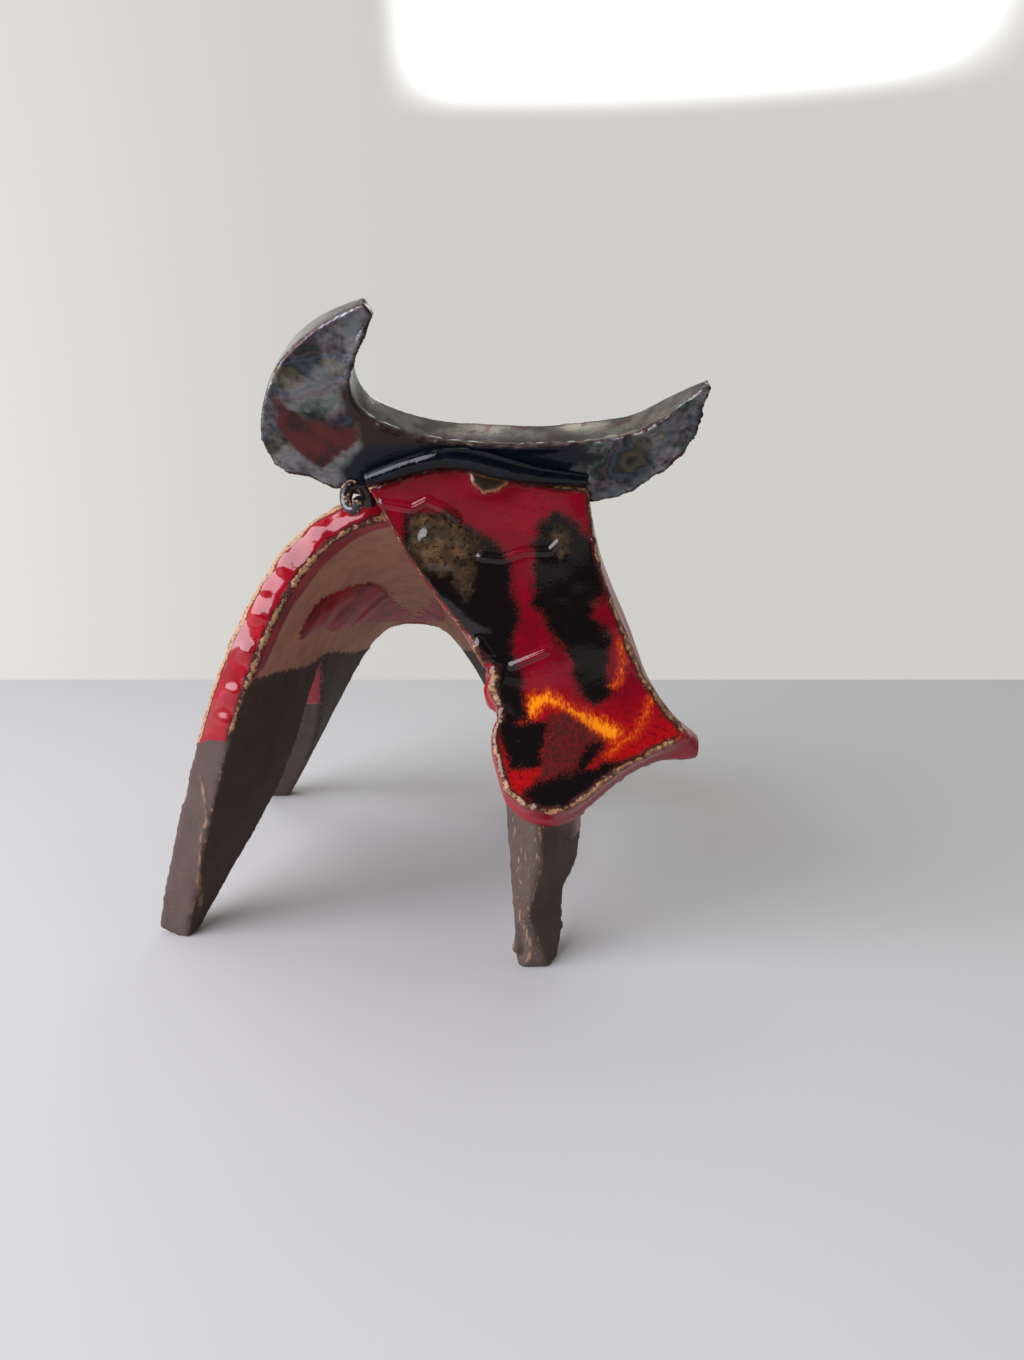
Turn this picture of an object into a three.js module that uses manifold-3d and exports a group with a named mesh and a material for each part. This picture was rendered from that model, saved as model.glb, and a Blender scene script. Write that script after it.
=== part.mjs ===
// A hand-built ceramic bull: a clay slab draped into a four-legged saddle, with two notches cut up
// its flanks, a bent slab for the head, a crescent slab for the horns, a coil of clay that joins
// the horns to the head, and a curl of clay at the head's corner.
// Millimetres, +Z up. The bull faces -Y, so its right side lies towards -X.
import * as THREE from "three";
import { mergeVertices } from "three/addons/utils/BufferGeometryUtils.js";
import Module from "manifold-3d";

const wasm = await Module();
wasm.setup();

// Driving sizes

// Space left between two pieces that touch.
const JOINT_GAP = 0.3;

// Body slab: inner face of the front arch and of the rear arch, as each foot, its splay from the
// vertical and its run outwards, and the crown between the two.
const FRONT_CROWN = { x: 2.2, y: -40.2, height: 101.2 };
const FRONT_RIGHT_FOOT = { x: -54.7, y: -33, splay: 14.2, legPull: 86, crownPull: 21.5 };
const FRONT_LEFT_FOOT = { x: 24.4, y: -46, splay: 4, legPull: 70, crownPull: 17 };
const REAR_CROWN = { x: -7.5, y: 58, height: 60.6 };
const REAR_RIGHT_FOOT = { x: -52, y: 70, splay: 30.7, legPull: 53.7, crownPull: 14.9 };
const REAR_LEFT_FOOT = { x: 35.5, y: 59, splay: 29.7, legPull: 48, crownPull: 16.4 };
// Slab thickness at shares of the way over the body, from the right feet to the left feet.
const BODY_THICKNESS = [
  [0, 8.4],
  [0.12, 8.8],
  [0.22, 8.3],
  [0.38, 6.3],
  [0.5, 6.3],
  [0.8, 8.6],
  [1, 7.3],
];
// How far the slab sways towards +X between its front and rear edges, at the same shares.
const SWAY = [[0, 28], [0.16, 42], [0.34, 10], [0.5, 4], [0.7, 20], [0.86, 56], [1, 28]];
// The left foreleg's front edge is trimmed flat across, this far forward of its foot's inner face.
const FRONT_TRIM = 1;
// The right forefoot is cut square to its leaning leg and rubbed flat by this much.
const SQUARE_FOOT_FLAT = 0.8;
// The other legs run below the ground by this much before they are trimmed level.
const FOOT_TRIM = 6;
// The left foreleg is pared down along its front outer corner. The paring's edge is given on the
// leg's front, outwards from the foot's inner face and up, and it runs outwards as it goes back.
const PARING_EDGE = [[8.4, -10], [6.5, 3], [2.8, 12.8], [15.1, 60]];
const PARING_SLANT = 0.57;

// Flank notches: where each one meets the ground in front and behind, and its rounded top.
// Its front side bows into the notch, or out of it where the bow is below 0.
const RIGHT_NOTCH = { front: -26.8, rear: 63, topY: 7.5, topZ: 61, bow: 4 };
const LEFT_NOTCH = { front: -40.2, rear: 51, topY: 6, topZ: 60, bow: -2 };
const NOTCH_RADIUS = 3;
// Each notch ends this far from the body's middle line.
const NOTCH_INSET = 8;

// Head slab: it stands before the vault's crown and rises above the crown's inner face. Its
// outline is on the flat clay, across from the crown and down from the top edge, and a bend
// brings the muzzle forward.
const HEAD_THICKNESS = 8;
const HEAD_RISE = 6;
const HEAD_STRAIGHT = 28;
const HEAD_BEND_RADIUS = 70;
const HEAD_CORNERS = {
  topRight: [-7.5, 0],
  topLeft: [36.4, 0],
  muzzleLeft: [57.4, 50.6],
  muzzleRight: [20.4, 62],
};
const HEAD_TOP_EDGE = [[3.8, -3.6], [11.8, -4.2], [23.7, -1.4]];
const HEAD_LEFT_EDGE = [[39, 14.3], [45.2, 31], [49.2, 39.6]];
const HEAD_MUZZLE_EDGE = [[44.8, 57], [32.8, 65.6], [24.8, 65.4]];
const HEAD_RIGHT_EDGE = [
  [2.6, 17.4],
  [13.8, 32],
  [18.4, 37.2],
  [17.4, 41.4],
  [19.4, 45.6],
  [17.6, 50.6],
  [18.4, 55],
];
// The slab's back is wider than its face all round, more so at the muzzle and most at the nose's
// left corner, and its face is slightly full. The larger the sharpness, the nearer to the muzzle
// or to the corner the flare begins.
const HEAD_BEVEL = 1.5;
const MUZZLE_FLARE = 0.8;
const MUZZLE_SHARPNESS = 3;
const NOSE_FLARE = 3;
const NOSE_SHARPNESS = 8;
const HEAD_CROWN = 1.2;

// Horn crescent: a slab that leans forward. Its outline is its face's front view from tip to tip,
// along the outer edge and along the inner edge, across from the crown and up from the head's top.
// It thins at the tips.
const HORN_THICKNESS = 9.4;
const HORN_TIP_THICKNESS = 3.6;
const HORN_FULLNESS = 6;
const HORN_LEAN = 27;
// At this height above the head's top, the horns' face stands this far before the head's face.
const HORN_FACE_RISE = 8.8;
const HORN_FORWARD = 2.4;
const HORN_OUTER = [
  [-5, 32.8],
  [-14, 28.8],
  [-21.8, 22.7],
  [-26.3, 15],
  [-27.2, 8.6],
  [-24.6, 4.3],
  [-18.6, 2],
  [-12, -0.4],
  [-4.2, -2.2],
  [17.8, -3.2],
  [37.8, -2.8],
  [48.3, 1.6],
  [55.8, 8.8],
  [58.6, 19.1],
];
const HORN_INNER = [
  [-3.6, 30.5],
  [-7, 25.4],
  [-9.2, 19.8],
  [-6.8, 14.1],
  [3.5, 10],
  [14.8, 8.6],
  [27.8, 8.4],
  [39.8, 9.5],
  [47.3, 11.5],
  [56.8, 18.6],
];

// Joint coil: a roll of clay in the corner between the head's top edge and the horns.
const COIL_RADIUS = 2.5;
const COIL_END_RADIUS = 1.3;
const COIL_RISE = 1.7;
const COIL_FORWARD = 1.2;

// Corner curl: a twist of clay at the head's top right corner, from the middle of the head's
// thickness forwards. It winds inwards and thins by these shares.
const CURL_RADIUS = 1.7;
const CURL_TURN_RADIUS = 2.3;
const CURL_TURNS = 1.1;
const CURL_START = -0.5;
const CURL_WINDS_IN = 0.45;
const CURL_THINS = 0.4;
const CURL_TALLNESS = 1.4;
const CURL_RUN = 7;
// Its centre, aside from the head's top right corner and up from the head's top.
const CURL_ASIDE = -2.7;
const CURL_UP = -2;

// Fineness of the facets
const ARCH_STEPS = 30;
const DEPTH_STEPS = 14;
const HEAD_ROWS = 32;
const HEAD_COLUMNS = 18;
const HORN_STEPS = 52;
const HORN_ROWS = 6;
const COIL_POINTS = 8;
const COIL_STEPS = 24;
const CURL_STEPS = 20;
const RING_SIDES = 12;

// Places that follow from the sizes
const HEAD_TOP_HEIGHT = FRONT_CROWN.height + HEAD_RISE;
const HEAD_FACE_Y = FRONT_CROWN.y - HEAD_THICKNESS;

const COLOURS = {
  glaze: 0x96141a,
  clay: 0x4a3630,
  horn: 0x3a4048,
  coil: 0x14161c,
};

// Solids

function solidFrom(geometry) {
  const bare = geometry.clone();
  bare.deleteAttribute("normal");
  bare.deleteAttribute("uv");
  const merged = mergeVertices(bare, 1e-4);
  return new wasm.Manifold(
    new wasm.Mesh({
      numProp: 3,
      vertProperties: merged.attributes.position.array,
      triVerts: new Uint32Array(merged.index.array),
    }),
  );
}

function geometryFrom(solid) {
  const mesh = solid.getMesh();
  const positions = new Float32Array(mesh.numVert * 3);
  for (let i = 0; i < mesh.numVert; i++) {
    const start = i * mesh.numProp;
    positions.set(mesh.vertProperties.subarray(start, start + 3), i * 3);
  }
  const geometry = new THREE.BufferGeometry();
  geometry.setAttribute("position", new THREE.BufferAttribute(positions, 3));
  geometry.setIndex(new THREE.BufferAttribute(mesh.triVerts, 1));
  geometry.computeVertexNormals();
  return geometry;
}

// A closed slab between two grids of points, face[row][column] in front and back[row][column]
// behind, with its four cut edges.
function slabGeometry(face, back) {
  const rows = face.length;
  const columns = face[0].length;
  const points = [...face.flat(), ...back.flat()];
  const faceAt = (r, c) => r * columns + c;
  const backAt = (r, c) => rows * columns + r * columns + c;
  const index = [];
  const quad = (a, b, c, d) => index.push(a, b, c, a, c, d);
  for (let r = 0; r + 1 < rows; r++) {
    for (let c = 0; c + 1 < columns; c++) {
      quad(faceAt(r, c), faceAt(r, c + 1), faceAt(r + 1, c + 1), faceAt(r + 1, c));
      quad(backAt(r, c), backAt(r + 1, c), backAt(r + 1, c + 1), backAt(r, c + 1));
    }
    quad(faceAt(r, 0), faceAt(r + 1, 0), backAt(r + 1, 0), backAt(r, 0));
    const last = columns - 1;
    quad(faceAt(r + 1, last), faceAt(r, last), backAt(r, last), backAt(r + 1, last));
  }
  for (let c = 0; c + 1 < columns; c++) {
    quad(faceAt(0, c + 1), faceAt(0, c), backAt(0, c), backAt(0, c + 1));
    const last = rows - 1;
    quad(faceAt(last, c), faceAt(last, c + 1), backAt(last, c + 1), backAt(last, c));
  }
  const geometry = new THREE.BufferGeometry();
  const positions = points.flatMap((p) => [p.x, p.y, p.z]);
  geometry.setAttribute("position", new THREE.Float32BufferAttribute(positions, 3));
  geometry.setIndex(index);
  return geometry;
}

// The unit normal at each point of a grid, on the side that slabGeometry takes for the front.
function gridNormals(grid) {
  const rows = grid.length;
  const columns = grid[0].length;
  return grid.map((row, r) =>
    row.map((_, c) => {
      const across = new THREE.Vector3().subVectors(
        row[Math.min(c + 1, columns - 1)],
        row[Math.max(c - 1, 0)],
      );
      const along = new THREE.Vector3().subVectors(
        grid[Math.min(r + 1, rows - 1)][c],
        grid[Math.max(r - 1, 0)][c],
      );
      return across.cross(along).normalize();
    }),
  );
}

// A large block whose top lies at a height, or whose back lies at a depth.
const BLOCK = 400;

function blockBelow(height) {
  return solidFrom(new THREE.BoxGeometry(BLOCK, BLOCK, BLOCK).translate(0, 0, height - BLOCK / 2));
}

function blockBefore(depth) {
  return solidFrom(new THREE.BoxGeometry(BLOCK, BLOCK, BLOCK).translate(0, depth - BLOCK / 2, 0));
}

// A solid together with copies of itself moved by the joint gap, as a cutter for its neighbours.
function withGap(solid, directions) {
  return directions.reduce((grown, direction) => {
    const length = Math.hypot(...direction);
    return grown.add(solid.translate(direction.map((d) => (d / length) * JOINT_GAP)));
  }, solid);
}

// The largest of a solid's separate bodies, so that a cut leaves no crumbs.
function largestBody(solid) {
  return solid.decompose().reduce((a, b) => (a.volume() > b.volume() ? a : b));
}

// Body slab

function halfArch(foot, crown, side, below) {
  const splay = THREE.MathUtils.degToRad(foot.splay);
  const up = new THREE.Vector3(-side * Math.sin(splay), 0, Math.cos(splay));
  const ground = new THREE.Vector3(foot.x, foot.y, 0);
  const top = new THREE.Vector3(crown.x, crown.y, crown.height);
  const start = ground.clone().addScaledVector(up, -below / up.z);
  const shoulder = ground.clone().addScaledVector(up, foot.legPull);
  shoulder.y = crown.y;
  const besideCrown = top.clone().add(new THREE.Vector3(side * foot.crownPull, 0, 0));
  return new THREE.CubicBezierCurve3(start, shoulder, besideCrown, top);
}

function archPoints(rightFoot, crown, leftFoot, rightBelow, leftBelow) {
  const right = halfArch(rightFoot, crown, -1, rightBelow).getSpacedPoints(ARCH_STEPS);
  const left = halfArch(leftFoot, crown, 1, leftBelow).getSpacedPoints(ARCH_STEPS);
  return [...right, ...left.reverse().slice(1)];
}

// A size that varies over the body, given at a few shares of the way.
function varying(pairs) {
  const curve = new THREE.SplineCurve(pairs.map(([share, size]) => new THREE.Vector2(share, size)));
  const samples = curve.getPoints(200);
  return (share) => {
    const after = Math.max(1, samples.findIndex((p) => p.x >= share));
    const [a, b] = [samples[after - 1], samples[after]];
    return THREE.MathUtils.mapLinear(share, a.x, b.x, a.y, b.y);
  };
}

function bodySlab() {
  const front = archPoints(
    FRONT_RIGHT_FOOT,
    FRONT_CROWN,
    FRONT_LEFT_FOOT,
    SQUARE_FOOT_FLAT,
    SQUARE_FOOT_FLAT,
  );
  const rear = archPoints(REAR_RIGHT_FOOT, REAR_CROWN, REAR_LEFT_FOOT, FOOT_TRIM, FOOT_TRIM);
  const swayAt = varying(SWAY);
  const thicknessAt = varying(BODY_THICKNESS);
  const inner = front.map((start, i) => {
    const sway = swayAt(i / (front.length - 1));
    return Array.from({ length: DEPTH_STEPS + 1 }, (_, j) => {
      const v = j / DEPTH_STEPS;
      const point = start.clone().lerp(rear[i], v);
      point.x += sway * v * (1 - v) ** 1.5;
      return point;
    });
  });
  const outward = gridNormals(inner);
  const outer = inner.map((row, i) => {
    const thickness = thicknessAt(i / (inner.length - 1));
    return row.map((point, j) => point.clone().addScaledVector(outward[i][j], -thickness));
  });
  return solidFrom(slabGeometry(inner, outer));
}

// A notch across one flank: a V with a rounded top, from outside the body to near its middle.
function flankNotch(notch, side) {
  const below = -2 * FOOT_TRIM;
  const slopeFront = (notch.topY - notch.front) / notch.topZ;
  const slopeRear = (notch.rear - notch.topY) / notch.topZ;
  const shape = new THREE.Shape();
  shape.moveTo(notch.front + slopeFront * below, below);
  shape.lineTo(notch.front, 0);
  shape.quadraticCurveTo(
    (notch.front + notch.topY) / 2 + 2 * notch.bow,
    notch.topZ / 2,
    notch.topY - slopeFront * NOTCH_RADIUS,
    notch.topZ - NOTCH_RADIUS,
  );
  shape.quadraticCurveTo(
    notch.topY,
    notch.topZ + NOTCH_RADIUS / 3,
    notch.topY + slopeRear * NOTCH_RADIUS,
    notch.topZ - NOTCH_RADIUS,
  );
  shape.lineTo(notch.rear - slopeRear * below, below);
  shape.closePath();
  const solid = new THREE.ExtrudeGeometry(shape, {
    depth: BLOCK,
    bevelEnabled: false,
    curveSegments: 6,
  });
  // The shape's x and y become the part's Y and Z.
  solid.rotateX(Math.PI / 2).rotateZ(Math.PI / 2);
  const middle = (FRONT_CROWN.x + REAR_CROWN.x) / 2;
  solid.translate(side > 0 ? middle + NOTCH_INSET : middle - NOTCH_INSET - BLOCK, 0, 0);
  return solidFrom(solid);
}

// What is pared off the left foreleg's front outer corner.
function legParing() {
  const edge = PARING_EDGE.map(([x, y]) => new THREE.Vector2(x, y));
  const outside = [edge.at(-1), edge[0]].map((point) => new THREE.Vector2(BLOCK, point.y));
  const solid = new THREE.ExtrudeGeometry(new THREE.Shape([...edge, ...outside]), {
    depth: BLOCK,
    bevelEnabled: false,
  });
  // The shape's x and y become the part's X and Z, and the depth runs to both sides of the
  // leg's front.
  solid.rotateX(Math.PI / 2).translate(0, BLOCK / 2, 0);
  solid.applyMatrix4(new THREE.Matrix4().makeShear(0, 0, PARING_SLANT, 0, 0, 0));
  solid.translate(FRONT_LEFT_FOOT.x, FRONT_LEFT_FOOT.y - FRONT_TRIM, 0);
  return solidFrom(solid);
}

// Head slab

function headProfile(down) {
  const past = Math.max(0, down - HEAD_STRAIGHT);
  const turn = past / HEAD_BEND_RADIUS;
  const straight = Math.min(down, HEAD_STRAIGHT);
  return new THREE.Vector3(
    0,
    HEAD_FACE_Y - HEAD_BEND_RADIUS * (1 - Math.cos(turn)),
    HEAD_TOP_HEIGHT - straight - HEAD_BEND_RADIUS * Math.sin(turn),
  );
}

function edgeCurve(start, between, end) {
  const points = [start, ...between, end].map(([a, b]) => new THREE.Vector2(a, b));
  return new THREE.SplineCurve(points);
}

// The flat outline filled with a grid of points that follows its four edges.
function headFlatGrid() {
  const { topRight, topLeft, muzzleLeft, muzzleRight } = HEAD_CORNERS;
  const top = edgeCurve(topRight, HEAD_TOP_EDGE, topLeft);
  const left = edgeCurve(topLeft, HEAD_LEFT_EDGE, muzzleLeft);
  const muzzle = edgeCurve(muzzleRight, [...HEAD_MUZZLE_EDGE].reverse(), muzzleLeft);
  const right = edgeCurve(topRight, HEAD_RIGHT_EDGE, muzzleRight);
  const corner = ([a, b]) => new THREE.Vector2(a, b);
  return Array.from({ length: HEAD_ROWS + 1 }, (_, r) => {
    const v = r / HEAD_ROWS;
    return Array.from({ length: HEAD_COLUMNS + 1 }, (_, c) => {
      const u = c / HEAD_COLUMNS;
      const across = right.getPointAt(v).lerp(left.getPointAt(v), u);
      const along = top.getPointAt(u).lerp(muzzle.getPointAt(u), v);
      const cornersTop = corner(topRight).lerp(corner(topLeft), u);
      const cornersBottom = corner(muzzleRight).lerp(corner(muzzleLeft), u);
      return across.add(along).sub(cornersTop.lerp(cornersBottom, v));
    });
  });
}

function headSlab(extra = 0) {
  const flat = headFlatGrid();
  const fullness = (t) => 1 - (2 * t - 1) ** 2;
  const bent = (point) => headProfile(point.y).setX(FRONT_CROWN.x + point.x);
  const face = flat.map((row, r) =>
    row.map((point, c) => {
      const bulge = HEAD_CROWN * fullness(r / HEAD_ROWS) * fullness(c / HEAD_COLUMNS);
      const placed = bent(point);
      placed.y -= bulge + extra;
      return placed;
    }),
  );
  const centre = flat[HEAD_ROWS / 2][HEAD_COLUMNS / 2];
  const flareAt = (u, v) => {
    const atMuzzle = THREE.MathUtils.lerp(MUZZLE_FLARE, 0, u) + NOSE_FLARE * u ** NOSE_SHARPNESS;
    return HEAD_BEVEL + atMuzzle * v ** MUZZLE_SHARPNESS;
  };
  const spread = (point, flare) => {
    const away = point.clone().sub(centre).setLength(flare + extra);
    return away.add(point);
  };
  const plain = flat.map((row, r) =>
    row.map((point, c) => {
      const [u, v] = [c / HEAD_COLUMNS, r / HEAD_ROWS];
      const onEdge = Math.max(Math.abs(2 * v - 1), Math.abs(2 * u - 1));
      return bent(point.clone().lerp(spread(point, flareAt(u, v)), onEdge));
    }),
  );
  const outward = gridNormals(plain);
  const back = plain.map((row, r) =>
    row.map((point, c) =>
      point.clone().addScaledVector(outward[r][c], HEAD_THICKNESS + extra),
    ),
  );
  return solidFrom(slabGeometry(back, face));
}

// Horn crescent

function hornCrescent() {
  const lean = THREE.MathUtils.degToRad(HORN_LEAN);
  const backward = new THREE.Vector3(0, Math.cos(lean), Math.sin(lean));
  const outer = edgeCurve(HORN_OUTER[0], HORN_OUTER.slice(1, -1), HORN_OUTER.at(-1));
  const inner = edgeCurve(HORN_INNER[0], HORN_INNER.slice(1, -1), HORN_INNER.at(-1));
  // A point of the front view, on the leaning face.
  const onFace = (point) =>
    new THREE.Vector3(
      FRONT_CROWN.x + point.x,
      HEAD_FACE_Y - HORN_FORWARD - (point.y - HORN_FACE_RISE) * Math.tan(lean),
      HEAD_TOP_HEIGHT + point.y,
    );
  const face = [];
  const back = [];
  for (let r = 0; r <= HORN_STEPS; r++) {
    const u = r / HORN_STEPS;
    const fullness = 1 - Math.abs(2 * u - 1) ** HORN_FULLNESS;
    const thickness = THREE.MathUtils.lerp(HORN_TIP_THICKNESS, HORN_THICKNESS, fullness);
    const [low, high] = [outer.getPointAt(u), inner.getPointAt(u)];
    const row = Array.from({ length: HORN_ROWS + 1 }, (_, c) =>
      onFace(low.clone().lerp(high, c / HORN_ROWS)),
    );
    face.push(row);
    back.push(row.map((point) => point.clone().addScaledVector(backward, thickness)));
  }
  return solidFrom(slabGeometry(back, face));
}

// Rolls of clay

// A roll of round section along a curve, with its own radius at each step and closed ends.
function roll(curve, radiusAt, steps) {
  const frames = curve.computeFrenetFrames(steps, false);
  const rings = Array.from({ length: steps + 1 }, (_, i) => {
    const centre = curve.getPointAt(i / steps);
    return Array.from({ length: RING_SIDES }, (_, k) => {
      const angle = (2 * Math.PI * k) / RING_SIDES;
      return centre
        .clone()
        .addScaledVector(frames.normals[i], radiusAt(i / steps) * Math.cos(angle))
        .addScaledVector(frames.binormals[i], radiusAt(i / steps) * Math.sin(angle));
    });
  });
  const index = [];
  const at = (i, k) => i * RING_SIDES + (k % RING_SIDES);
  for (let i = 0; i < steps; i++) {
    for (let k = 0; k < RING_SIDES; k++) {
      index.push(at(i, k), at(i, k + 1), at(i + 1, k + 1));
      index.push(at(i, k), at(i + 1, k + 1), at(i + 1, k));
    }
  }
  for (let k = 1; k + 1 < RING_SIDES; k++) {
    index.push(at(0, 0), at(0, k + 1), at(0, k));
    index.push(at(steps, 0), at(steps, k), at(steps, k + 1));
  }
  const geometry = new THREE.BufferGeometry();
  const positions = rings.flat().flatMap((p) => [p.x, p.y, p.z]);
  geometry.setAttribute("position", new THREE.Float32BufferAttribute(positions, 3));
  geometry.setIndex(index);
  return solidFrom(geometry);
}

// The coil follows the head's top edge, a little above it and before it.
function jointCoil() {
  const edge = edgeCurve(HEAD_CORNERS.topRight, HEAD_TOP_EDGE, HEAD_CORNERS.topLeft);
  const path = new THREE.CatmullRomCurve3(
    edge.getSpacedPoints(COIL_POINTS).map((point) => {
      const placed = headProfile(point.y).setX(FRONT_CROWN.x + point.x);
      return placed.add(new THREE.Vector3(0, -COIL_FORWARD, COIL_RISE));
    }),
  );
  const taper = (t) => THREE.MathUtils.lerp(COIL_END_RADIUS, COIL_RADIUS, Math.sin(Math.PI * t));
  return roll(path, taper, COIL_STEPS);
}

function cornerCurl() {
  const middle = new THREE.Vector3(
    FRONT_CROWN.x + HEAD_CORNERS.topRight[0] + CURL_ASIDE,
    HEAD_FACE_Y + HEAD_THICKNESS / 2,
    HEAD_TOP_HEIGHT + CURL_UP,
  );
  const points = Array.from({ length: CURL_STEPS + 1 }, (_, i) => {
    const t = i / CURL_STEPS;
    const angle = 2 * Math.PI * CURL_TURNS * t + CURL_START;
    const reach = CURL_TURN_RADIUS * (1 - CURL_WINDS_IN * t);
    const away = new THREE.Vector3(
      reach * Math.cos(angle),
      -CURL_RUN * t,
      CURL_TALLNESS * reach * Math.sin(angle),
    );
    return away.add(middle);
  });
  const path = new THREE.CatmullRomCurve3(points);
  return roll(path, (t) => CURL_RADIUS * (1 - CURL_THINS * t), CURL_STEPS);
}

// Assembly

const materials = {
  glaze: new THREE.MeshStandardMaterial({ color: COLOURS.glaze, roughness: 0.12, metalness: 0 }),
  horn: new THREE.MeshStandardMaterial({ color: COLOURS.horn, roughness: 0.2, metalness: 0.5 }),
  coil: new THREE.MeshStandardMaterial({ color: COLOURS.coil, roughness: 0.1, metalness: 0 }),
  clay: new THREE.MeshStandardMaterial({ color: COLOURS.clay, roughness: 0.9, metalness: 0 }),
};

const UP = [0, 0, 1];
const FORWARD = [0, -1, 0];
const BACKWARD = [0, 1, 0];
const ASIDE = [-1, 0, 0];

const head = headSlab();
const headCutter = headSlab(JOINT_GAP);
const body = largestBody(
  bodySlab()
    .subtract(flankNotch(RIGHT_NOTCH, -1))
    .subtract(flankNotch(LEFT_NOTCH, 1))
    .subtract(legParing())
    .subtract(blockBelow(0))
    .subtract(blockBefore(FRONT_LEFT_FOOT.y - FRONT_TRIM))
    .subtract(headCutter),
);
const bodyCutter = withGap(body, [UP, FORWARD, BACKWARD, ASIDE]);
const horns = largestBody(hornCrescent().subtract(headCutter).subtract(bodyCutter));
const hornCutter = withGap(horns, [FORWARD, [0, -1, -1], [0, 0, -1]]);
const coil = largestBody(
  jointCoil().subtract(hornCutter).subtract(headCutter).subtract(bodyCutter),
);
const coilCutter = withGap(coil, [ASIDE, [-1, 0, -1], FORWARD]);
const curl = largestBody(
  cornerCurl()
    .subtract(hornCutter)
    .subtract(headCutter)
    .subtract(bodyCutter)
    .subtract(coilCutter),
);

const bull = new THREE.Group();

function addPiece(name, solid, material) {
  const mesh = new THREE.Mesh(geometryFrom(solid), material);
  mesh.name = name;
  bull.add(mesh);
}

addPiece("body_saddle", body, materials.glaze);
addPiece("head_slab", head, materials.glaze);
addPiece("horn_crescent", horns, materials.horn);
addPiece("horn_joint_coil", coil, materials.coil);
addPiece("corner_curl", curl, materials.clay);

// The origin lies on the ground, under the middle of the whole.
const bounds = new THREE.Box3().setFromObject(bull);
const middle = bounds.getCenter(new THREE.Vector3());
bull.position.set(-middle.x, -middle.y, -bounds.min.z);

export default bull;
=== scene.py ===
# A hand-built ceramic bull: a draped clay saddle as body and legs, a bent head slab and a crescent of horns.
# Lengths in this script are millimetres, and Blender's are metres.
# The bull faces -Y, and its right side is towards -X.
import itertools
import math
import bpy
import numpy as np
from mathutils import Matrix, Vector, kdtree


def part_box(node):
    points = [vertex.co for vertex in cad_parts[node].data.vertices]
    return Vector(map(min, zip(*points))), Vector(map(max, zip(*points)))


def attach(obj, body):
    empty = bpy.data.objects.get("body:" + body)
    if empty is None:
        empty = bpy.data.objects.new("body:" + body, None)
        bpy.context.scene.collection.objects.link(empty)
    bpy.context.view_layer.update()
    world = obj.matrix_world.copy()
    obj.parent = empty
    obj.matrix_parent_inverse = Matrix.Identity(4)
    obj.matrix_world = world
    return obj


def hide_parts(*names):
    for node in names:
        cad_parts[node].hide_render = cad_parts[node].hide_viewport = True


MM = 0.001

# Camera: its place, how far it looks down in degrees, and its lens
CAMERA_PLACE = (23.3, -246.3, 116.0)
CAMERA_DOWN = 13.87
CLIP_START = 10.0
LENS = 33.75
SENSOR = 36.0

# Floor
FLOOR_NEAR = -300.0
FLOOR_FAR = 224.0
FLOOR_HALF_WIDTH = 900.0
FLOOR_COLOUR = (0.405, 0.40, 0.395)
FLOOR_ROUGHNESS = 0.9

# Lamp: one large soft light ahead of the bull and to its right
LAMP_PLACE = (-500, -400, 330)
LAMP_TARGET = (0, 0, 60)
LAMP_SIZE = (820, 560)
LAMP_WATTS = 12.5
LAMP_COLOUR = (0.90, 0.90, 1.0)

# World, linear: a pale studio with two bright openings, paler on the bull's right and dark in front of it
STUDIO = (0.63, 0.62, 0.59)
CEILING = (0.52, 0.52, 0.51)
RIGHT_SIDE = (0.84, 0.83, 0.80)
REAR_OPENING = (3.0, 3.0, 3.05)
OVERHEAD_OPENING = (2.6, 2.6, 2.6)
DARK_FRONT = (0.035, 0.035, 0.038)
FRONT_BAND = (0.38, 0.375, 0.365)
# Where each bright part starts, is full from and to, and ends, as directions
REAR_UP = (0.28, 0.34, 0.58, 0.66)
REAR_ACROSS = (-0.12, -0.04, 0.3, 0.42)
OVERHEAD_ACROSS = (-0.5, -0.4, 0.02, 0.12)
FRONT_BAND_UP = (-0.050, -0.032, 0.04, 0.12)

# Fineness of each mesh, and how it is smoothed without shrinking
BODY_VOXEL = 0.75
HEAD_VOXEL = 0.36
HORN_VOXEL = 0.32
COIL_VOXEL = 0.25
CURL_VOXEL = 0.18
SMOOTH_ROUNDS = 3
SMOOTH_SHARES = (0.55, -0.57)
SOFTEN_SHARE = 0.6

# Everything below is drawn in a frame that stands this far aside of the part's.
DRAWN_ASIDE = -1.2

# A distance that counts as away from every edge, and a field's value where it marks nothing
FAR_OFF = 9.0
OUTSIDE = -9.0
# Fields on the body are cut off at this distance from their borders.
FIELD_LIMIT = 3

# Body: where the glaze ends on each leg, as a height
GLAZE_END = {"right_fore": 48.5, "left_fore": 33.0, "right_hind": 42.0, "left_hind": 38.0}
# Where it ends on the two legs' front faces, and how far it drops at the right one's outer side
RIGHT_FACE_GLAZE_END = 50.8
RIGHT_FACE_GLAZE_DROP = 4.0
LEFT_FACE_GLAZE_END = 52.0
# The left foreleg's outer side, where the glaze is thin and painted darker as shade from the muzzle above
# it, and its end drops further to the left
LEFT_SIDE_SLOPE = 1.6
LEFT_SIDE_START = 33.5
# The body's middle line, across and up, at the fore and the hind legs
LEG_REACH = (-45.0, 62.0)
FRONT_MIDDLE = (-13.0, 25.0)
REAR_MIDDLE = (-8.0, 15.0)
# The front edge's place, and how it slants back towards the right
FRONT_EDGE = -36.5
FRONT_EDGE_RIGHT = -58
FRONT_EDGE_SLANT = 0.13
# Edges and cut faces ahead of this line belong to the front edge.
FRONT_PART = -30
# Rounds of averaging that even out the borders of the body's fields
EVEN_ROUNDS_INSIDE = 10
EVEN_ROUNDS_OUTSIDE = 3
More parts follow.
